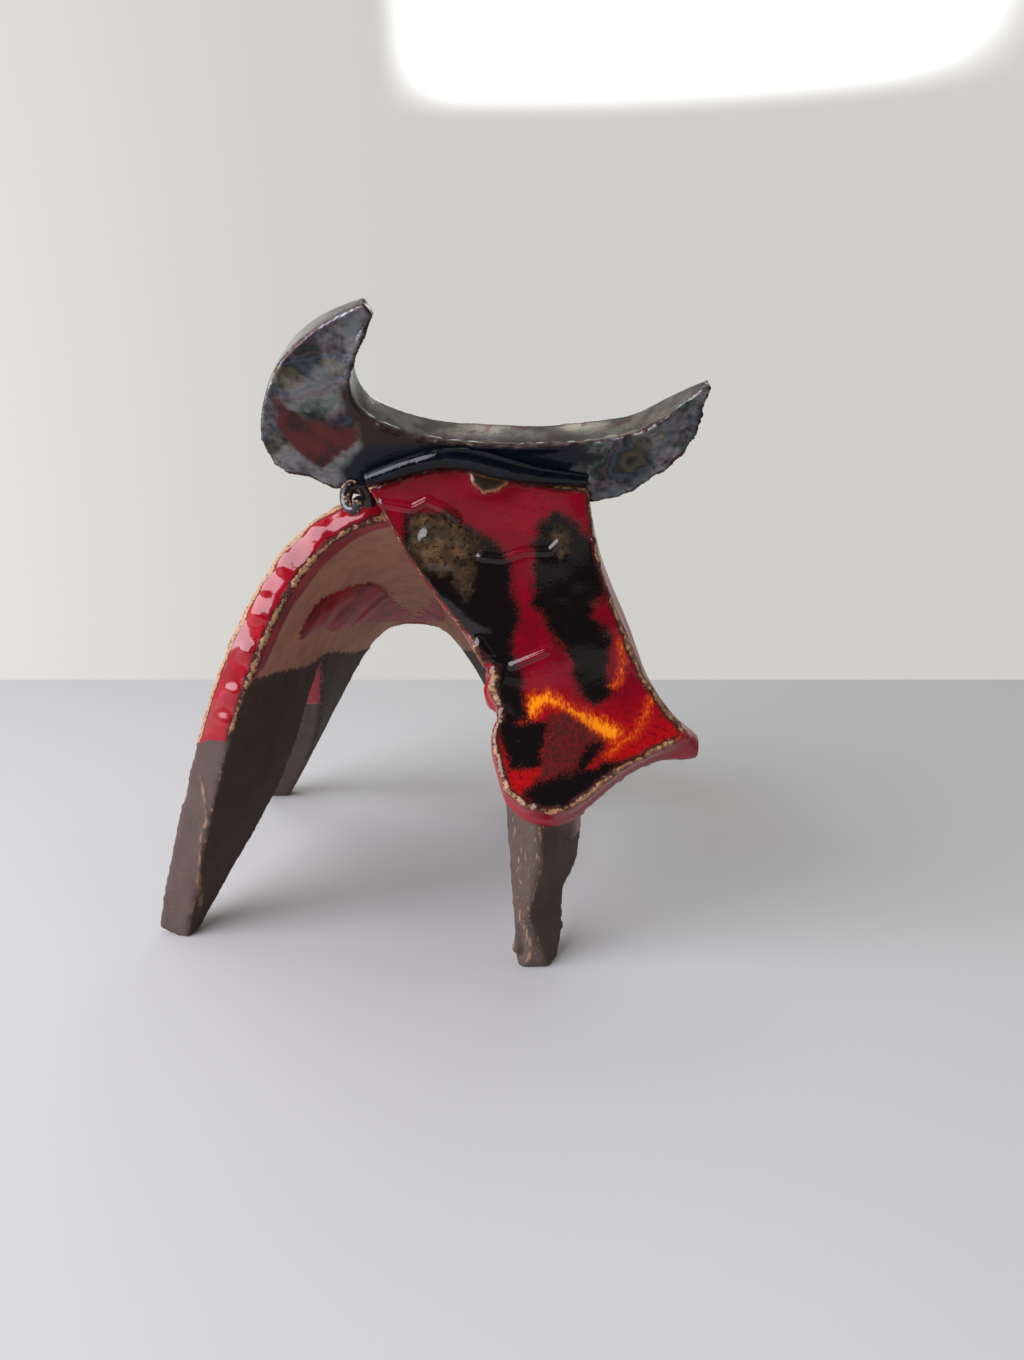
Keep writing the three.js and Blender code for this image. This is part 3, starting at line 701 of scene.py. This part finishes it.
def body_fields(clay):
    """Glaze and dark clay as distances inside their borders, and the surface's parts as shares."""
    x, y, z = clay.drawn.T
    turn = ramp(y, *LEG_REACH)
    out_x, out_z = from_middle(clay.drawn)
    nx, ny, nz = clay.normals.T
    cut = np.abs(ny) > 0.6
    front_cut = (ny < -0.6) & (y < FRONT_PART)
    inner = (out_x * nx + out_z * nz < 0) & ~cut
    right = GLAZE_END["right_fore"] + (GLAZE_END["right_hind"] - GLAZE_END["right_fore"]) * turn
    left = GLAZE_END["left_fore"] + (GLAZE_END["left_hind"] - GLAZE_END["left_fore"]) * turn
    line = np.where(out_x < 0, right, left) + 2.5 * noise(clay.drawn, 11, 1)
    right_face = RIGHT_FACE_GLAZE_END - RIGHT_FACE_GLAZE_DROP * ramp(-x, 45, 49)
    line = np.where(front_cut & (out_x < 0), right_face + 0.4 * noise(clay.drawn, 4, 2), line)
    line = np.where(front_cut & (out_x > 0), LEFT_FACE_GLAZE_END, line)
    left_side = (out_x > 0) & (y < -25) & ~inner & (nx > 0.25)
    lower = LEFT_SIDE_SLOPE * np.clip(x - LEFT_SIDE_START, 0, 5)
    line = np.where(left_side, GLAZE_END["left_fore"] - lower, line)
    front_edge = FRONT_EDGE - FRONT_EDGE_SLANT * (x - FRONT_EDGE_RIGHT)
    band = 1.5 + 2.0 * ramp(z, 64, 72) + 2 * ramp(z, 80, 88) - (y - front_edge)
    band = np.minimum(band, z - BAND_LOW_END)
    run = inside_by(np.column_stack([y, z]), RUN_INSIDE)
    run = np.clip(np.where(inner & (x < 5), run, -FIELD_LIMIT), -FIELD_LIMIT, 4)
    glaze = np.where(inner, np.maximum(band, run), z - line)
    line_y, line_z = np.array(DARK_CLAY_LINE).T
    dark = np.where(inner, np.interp(y, line_y, line_z) - z, FIELD_LIMIT)
    return {
        "glaze": np.clip(glaze, -FIELD_LIMIT, FIELD_LIMIT),
        "dark": np.clip(dark, -FIELD_LIMIT, FIELD_LIMIT),
        "run": run,
        "inside": inner * 1.0,
        "front_cut": front_cut * 1.0,
        # Low on the left foreleg's outer side: thin glaze, with painted shade from the muzzle
        "thin_and_shaded": left_side * ramp(-z, -50, -38) * ramp(-y, 27, 37),
        "pale": np.where(inner, 0.0, np.where(front_cut & (x > 0), 1.0, 0.6)),
    }


def make_body():
    clay = Clay("saddle_body", "body_saddle", BODY_VOXEL)
    drawn = clay.drawn
    flat = drawn[:, [0, 2]]
    ahead = drawn[:, 1] < FRONT_PART
    fields = body_fields(clay)
    for name in ("glaze", "dark", "run", "thin_and_shaded"):
        within = clay.even(fields[name], EVEN_ROUNDS_INSIDE)
        without = clay.even(fields[name], EVEN_ROUNDS_OUTSIDE)
        fields[name] = np.where(fields["inside"] > 0, within, without)
    glazed = ramp(fields["glaze"], -0.3, 0.5)
    bare = 1 - glazed
    edge = clay.arris
    out_x, out_z = from_middle(clay.sharp - (DRAWN_ASIDE, 0, 0))
    outward = clay.facing[:, 0] * out_x + clay.facing[:, 2] * out_z
    outer = clay.distance_to(clay.sharp[outward > 0.1])
    inner = np.where(ahead, clay.distance_to(clay.sharp[outward < -0.1]), FAR_OFF)
    clay.soften(hump(edge, 1.2), 6)
    # The glazed front edge rolls back towards its outer side.
    strip = clay.even(glazed * fields["front_cut"], 4)
    clay.points[:, 1] += strip * STRIP_ROLL * np.clip(STRIP_ROLL_WIDTH - outer, 0, None) ** 2
    clay.place()
    # Glaze stands proud of the clay, in pools on the front edge and in a wavy run inside.
    height = glazed * (0.25 + 0.10 * noise(drawn, 5, 2) + 0.14 * (1 - strip) * noise(drawn, 10, 12))
    height += strip * 0.25 * ramp(edge, 0.2, 1.4)
    for x, z, radius, high in POOLS:
        away = reach(flat, (x, z)) / radius
        height += strip * high * np.clip(1 - away ** 2, 0, 1) ** 2
    height += strip * 0.06 * noise(drawn, 3.0, 4)
    waves = noise(drawn * (0.5, 1, 0.5), 4.5, 5)
    height += 0.7 * ramp(fields["run"], 0, 3.5) * (1 + 0.4 * waves)
    height += 0.3 * glazed * fields["inside"] * (1 + waves)
    # Bare clay is grainy, and every edge is uneven.
    height += bare * (0.08 * noise(drawn, 1.6, 6) + 0.14 * noise(drawn, 9, 7))
    height += glazed * hump(inner, 0.9) * (0.35 + 0.2 * noise(drawn, 1.6, 11))
    rough_rim = 0.15 + (0.04 + 0.12 * bare) * noise(drawn, 1.5, 8) + 0.14 * noise(drawn, 4.5, 9)
    height += hump(edge, 0.7) * rough_rim
    # Pressed ridges, a groove in the left forefoot and torn crumbs
    ridge = np.zeros(len(drawn))
    for line in CLAY_RIDGES:
        ridge = np.maximum(ridge, hump(line_distance(flat, line), 0.45) * (drawn[:, 1] < -34) * bare)
    height += 0.35 * ridge
    height -= 0.6 * hump(line_distance(flat, FOOT_GROOVE), 0.7) * (drawn[:, 1] < -46)
    for place, radius, high in CRUMBS:
        height += high * hump(np.linalg.norm(drawn - place, axis=1), radius)
    clay.push(height)
    for name in ("glaze", "dark", "inside", "pale", "thin_and_shaded"):
        clay.note(name, fields[name])
    clay.note("arris", edge)
    clay.note("inner_arris", inner + 3 * bare)
    clay.note("outer_arris", np.where(ahead, outer, FAR_OFF) + 3 * bare)
    clay.note("ridge", ridge * (0.8 + 0.6 * noise(drawn, 1.2, 10)))
    clay.finish(body_material())


def face_down(points):
    """How far down the unrolled head slab each point is."""
    drop = HEAD_TOP - points[:, 2]
    turned = HEAD_STRAIGHT + HEAD_BEND * np.arcsin(np.clip((drop - HEAD_STRAIGHT) / HEAD_BEND, 0, 1))
    return np.where(drop > HEAD_STRAIGHT, turned, drop)


def head_material():
    n = Nodes("face_glaze")
    front = n.field("front")
    edging = n.field("edging")
    fine = n.noise(0.45, 6)
    speck = n.noise(0.4, 4)
    low = n.step(n.shifted(n.field("low"), (n.noise(3, 5), 0.25)), 0.15, 0.9)
    red = n.mix(n.step(n.noise(6, 4), 0.35, 0.7), FACE_RED, FACE_RED_DEEP)
    red = n.mix(low, red, FACE_RED_LOW)
    red = n.mix(n.step(n.noise(0.9, 6), 0.50, 0.68), red, FACE_RED_CLOUD)
    red = n.mix(n.step(n.noise(0.35, 4), 0.60, 0.74), red, FACE_RED_SPECK)
    red = n.mix(front, FACE_RED_BEHIND, red)
    feather = n.shifted(n.field("amber"), (n.noise(0.42, 6, (1, 1, 0.4)), 2.4))
    colour = n.mix(n.step(feather, -1.4, 0.6), red, AMBER_FEATHER)
    colour = n.mix(n.step(feather, 0.0, 1.5), colour, AMBER)
    dull = n.step(n.shifted(n.field("dull"), (fine, 1.2)), -1.0, 1.0)
    mottled = n.mix(n.step(n.noise(0.7, 6), 0.42, 0.62), DULL_BROWN, DULL_RED)
    colour = n.mix(n.maths("MULTIPLY", dull, 0.9), colour, mottled)
    shade = n.shifted(n.field("black"), (n.noise(2.6, 4), 1.9), (fine, 1.7))
    colour = n.mix(n.step(shade, -1.9, 0.2), colour, BLACK_GLAZE_HALO)
    black = n.step(n.shifted(shade, (speck, 1.8)), -0.8, 0.7)
    black_glaze = n.mix(n.step(speck, 0.66, 0.78), BLACK_GLAZE, BLACK_GLAZE_SPECK)
    colour = n.mix(black, colour, black_glaze)
    olive = n.step(n.shifted(n.field("olive"), (n.noise(2, 5), 2.0), (fine, 1.2)), -1.2, 1.2)
    patch = n.mix(n.step(n.noise(3.2, 6), 0.46, 0.70), OLIVE_GLAZE, OLIVE_GLAZE_TAN)
    patch = n.mix(n.step(speck, 0.50, 0.70), patch, OLIVE_GLAZE_SPECK)
    patch = n.mix(n.step(n.noise(1.3, 6), 0.53, 0.66), patch, OLIVE_GLAZE_CLOUD)
    colour = n.mix(olive, colour, patch)
    blob = n.step(n.shifted(n.field("blob"), (n.noise(1.0, 5), 1.0)), -0.3, 0.3)
    blob_clay = n.mix(n.step(n.field("blob"), 0.0, 0.9), BLOB_RIM, BLOB_MIDDLE)
    colour = n.mix(blob, colour, blob_clay)
    edge = n.shifted(n.field("arris"), (n.noise(0.8, 4), 0.55), (n.noise(4, 2), 0.7))
    burnt = n.maths("MULTIPLY", n.step(edge, 1.3, 0.5), edging)
    colour = n.mix(burnt, colour, FACE_BURNT_EDGE)
    worn = n.maths("MULTIPLY", n.step(edge, 0.48, 0.24), edging)
    rim = n.mix(n.step(n.noise(0.9, 5), 0.42, 0.6), FACE_RIM, FACE_RIM_DARK)
    colour = n.mix(worn, colour, rim)
    roughness = n.blend(dull, FACE_ROUGHNESS, DULL_ROUGHNESS)
    roughness = n.blend(olive, roughness, OLIVE_ROUGHNESS)
    roughness = n.blend(worn, roughness, FACE_RIM_ROUGHNESS)
    roughness = n.blend(front, HEAD_BACK_ROUGHNESS, roughness)
    n.feed(n.shader.inputs["IOR"], FACE_IOR)
    return n.close(colour, roughness, n.noise(0.5, 4), 0.012)


def make_head():
    clay = Clay("bent_head", "head_slab", HEAD_VOXEL)
    drawn = clay.drawn
    flat = np.column_stack([drawn[:, 0], face_down(drawn)])
    down = flat[:, 1]
    front = ramp(-clay.normals[:, 1], -0.1, 0.3)
    face = ramp(-clay.normals[:, 1], 0.35, 0.6) * ramp(clay.normals[:, 2], -0.35, -0.05)
    edge = clay.arris
    patches = [FACE_DARK_LEFT, FACE_DARK_RIGHT, FACE_NOSTRIL_LEFT, FACE_NOSTRIL_RIGHT, FACE_BAND]
    black = np.max([inside_by(flat, outline) for outline in patches], axis=0)
    black = black - 2.8 * hump(reach(flat, FACE_RED_SPOT), 3.6)
    olive = np.maximum(inside_by(flat, FACE_OLIVE), inside_by(flat, FACE_BROWN_RIGHT) - 0.4)
    amber = inside_by(flat, FACE_AMBER)
    for line in FACE_AMBER_LINES:
        amber = np.maximum(amber, 0.3 - line_distance(flat, line))
    dull = inside_by(flat, FACE_DULL)
    blob = inside_by(flat, FACE_CLAY_BLOB)
    # A slightly uneven slab, with raised ridges, thick glaze in the patches, one blister and a rolled lip
    height = 0.12 * noise(drawn, 9, 1) + 0.03 * noise(drawn, 3, 2)
    for line in FACE_RIDGES:
        height += 0.5 * front * hump(line_distance(flat, line), 0.55)
    height += 0.25 * front * ramp(olive, -0.5, 2) * (0.6 + noise(drawn, 3, 3))
    height += 0.25 * front * ramp(blob, -0.3, 0.8)
    height += 0.55 * front * hump(reach(flat, FACE_BLISTER), 1.0)
    height += 1.1 * hump(line_distance(flat, FACE_LIP), 1.2) * (1 + 0.5 * noise(drawn, 2, 6))
    # The muzzle's end is a round knob, and no worn edge reaches it.
    from_tip = clay.points - clay.points[np.argmax(clay.points[:, 0])]
    knob = hump(np.linalg.norm(from_tip, axis=1), KNOB_RADIUS)
    above = ramp(from_tip[:, 2], 1.0, 3.0)
    off_knob = ramp(np.linalg.norm(from_tip[:, [0, 2]], axis=1) - 3 * above, 3.2, 4.4)
    thick = hump(edge, 3.5) * (1 - face) * ramp(down, 20, 35)
    clay.soften(np.max([thick, hump(edge, 1.5) * (1 - face), knob], axis=0), KNOB_ROUNDS)
    height += KNOB_HEIGHT * knob + 0.5 * thick
    muzzle = ramp(down, 42, 56)
    rough_rim = 0.15 + (0.25 + 0.3 * muzzle) * noise(drawn, 1.4, 4) + 0.2 * noise(drawn, 3, 5)
    height += hump(edge, 0.7) * rough_rim
    clay.push(height)
    marks = {"black": black, "olive": olive, "amber": amber, "dull": dull, "blob": blob}
    for name, values in marks.items():
        clay.note(name, np.where(face > 0.5, values, OUTSIDE))
    clay.note("arris", edge)
    clay.note("low", ramp(down, 30, 62))
    clay.note("front", face)
    edging = ramp(-clay.normals[:, 1], 0.2, 0.5) * ramp(clay.normals[:, 2], -0.5, -0.2)
    clay.note("edging", edging * off_knob)
    clay.finish(head_material())


def horn_material():
    n = Nodes("horn_lustre")
    top = n.field("top")
    fine = n.noise(1.4, 5)
    cloud = n.step(n.shifted(n.noise(9, 3), (fine, 0.16)), 0.42, 0.62)
    colour = n.mix(cloud, LUSTRE_DARK, LUSTRE_PALE)
    film = n.noise(9, 2, (1, 1, 1.4))
    for level, tint in LUSTRE_FILMS:
        rising = n.step(film, level - LUSTRE_FILM_WIDTH, level)
        falling = n.step(film, level + LUSTRE_FILM_WIDTH, level)
        share = n.maths("MULTIPLY", n.maths("MULTIPLY", rising, falling), LUSTRE_FILM_SHARE)
        colour = n.mix(share, colour, tint)
    smooth = n.mix(n.step(n.noise(5, 5), 0.35, 0.65), HORN_TOP_PALE, HORN_TOP_DARK)
    smooth = n.mix(n.step(n.noise(4, 3), 0.58, 0.68), smooth, HORN_TOP_BROWN)
    colour = n.mix(top, colour, smooth)
    # The right horn's outer side gets a pale grey painted reflection
    colour = n.mix(n.field("side"), colour, HORN_SIDE_REFLECTION)
    rust = n.step(n.shifted(n.field("rust"), (n.noise(2.5, 5), 1.6)), -0.5, 0.5)
    colour = n.mix(rust, colour, n.mix(n.step(n.noise(4, 5), 0.35, 0.65), RUST, RUST_DARK))
    dark = n.step(n.shifted(n.field("dark"), (n.noise(4, 5), 3.0)), -1.5, 1.5)
    colour = n.mix(dark, colour, n.mix(n.step(n.field("brown"), 0.2, 0.8), HORN_BLACK, HORN_BROWN))
    edge = n.shifted(n.field("arris"), (n.noise(0.9, 4), 0.5), (n.noise(4, 2), 0.4))
    colour = n.mix(n.step(edge, 0.45, 0.1), colour, HORN_EDGE)
    metallic = n.blend(n.maths("MAXIMUM", rust, dark), HORN_METALLIC, RUST_METALLIC)
    roughness = n.blend(top, n.span(fine, 0.10, 0.26), HORN_TOP_ROUGHNESS)
    roughness = n.blend(dark, roughness, HORN_DARK_ROUGHNESS)
    roughness = n.blend(n.step(edge, 1.0, 0.3), roughness, HORN_EDGE_ROUGHNESS)
    n.feed(n.shader.inputs["Metallic"], metallic)
    n.feed(n.shader.inputs["IOR"], HORN_IOR)
    return n.close(colour, roughness, n.noise(0.6, 4), 0.03)


def make_horns():
    clay = Clay("crescent_horns", "horn_crescent", HORN_VOXEL)
    drawn = clay.drawn
    flat = drawn[:, [0, 2]]
    edge = clay.arris
    ahead = clay.normals[:, 1] < 0
    top = ramp(clay.normals[:, 2], 0.45, 0.75)
    low = 1 - top
    beneath = ramp(-clay.normals[:, 2], 0.1, 0.6)
    right_horn = ramp(-drawn[:, 0], 3, 10)
    left_horn = ramp(drawn[:, 0], 12, 22)
    height = 0.25 * noise(drawn, 9, 1) + low * 0.08 * noise(drawn, 3, 2)
    # Worn round at both horns, with torn teeth beneath and a rough crest from the middle to the left
    clay.soften(hump(edge, 1.2 + 1.6 * right_horn + 0.8 * left_horn) * (1 - beneath), HORN_SOFTEN_ROUNDS)
    height += hump(edge, 1.0) * low * (0.10 + 0.15 * noise(drawn, 3.5, 4))
    height += hump(edge, 1.2) * beneath * (0.6 * noise(drawn, 2.2, 3) + 0.2)
    ridge = clay.distance_to(clay.sharp[clay.facing[:, 1] < -0.2])
    across = ramp(drawn[:, 0], -12, 0)
    height += hump(ridge, 0.8) * across * ramp(drawn[:, 2], 112, 115) * (0.15 + 0.35 * noise(drawn, 1.6, 5))
    clay.push(height)
    clay.note("rust", np.where(ahead, inside_by(flat, HORN_RUST), OUTSIDE))
    clay.note("dark", np.where(ahead, inside_by(flat, HORN_DARK), OUTSIDE))
    clay.note("brown", ramp(drawn[:, 2], 113, 118))
    clay.note("top", top)
    # Where the right horn's outer side faces away to the right and gets the painted reflection
    clay.note("side", ramp(-clay.normals[:, 0], 0.35, 0.75) * right_horn)
    clay.note("arris", edge)
    clay.finish(horn_material())


def coil_material():
    n = Nodes("coil_glaze")
    colour = n.mix(n.step(n.noise(3, 4), 0.45, 0.7), COIL_BLACK, COIL_BLUE)
    roughness = n.span(n.noise(1, 3), 0.04, 0.12)
    n.feed(n.shader.inputs["IOR"], COIL_IOR)
    return n.close(colour, roughness, n.noise(0.6, 3), 0.02)


def make_coil():
    clay = Clay("horn_joint", "horn_joint_coil", COIL_VOXEL)
    clay.push(0.10 * noise(clay.drawn, 5, 1) + 0.04 * noise(clay.drawn, 2, 2))
    clay.finish(coil_material())


def curl_material():
    n = Nodes("curl_clay")
    tan = n.step(n.noise(1.4, 4), 0.60, 0.68)
    colour = n.mix(tan, CURL_BLACK, CURL_TAN)
    roughness = n.blend(tan, CURL_GLAZE_ROUGHNESS, CURL_CLAY_ROUGHNESS)
    return n.close(colour, roughness, n.noise(0.4, 4), 0.05)


def make_curl():
    clay = Clay("clay_curl", "corner_curl", CURL_VOXEL)
    clay.push(0.10 * noise(clay.drawn, 1.2, 1))
    clay.finish(curl_material())


add_camera()
add_floor()
set_world()
add_lamp()
bpy.context.scene.view_settings.view_transform = "Standard"

make_body()
make_head()
make_horns()
make_coil()
make_curl()
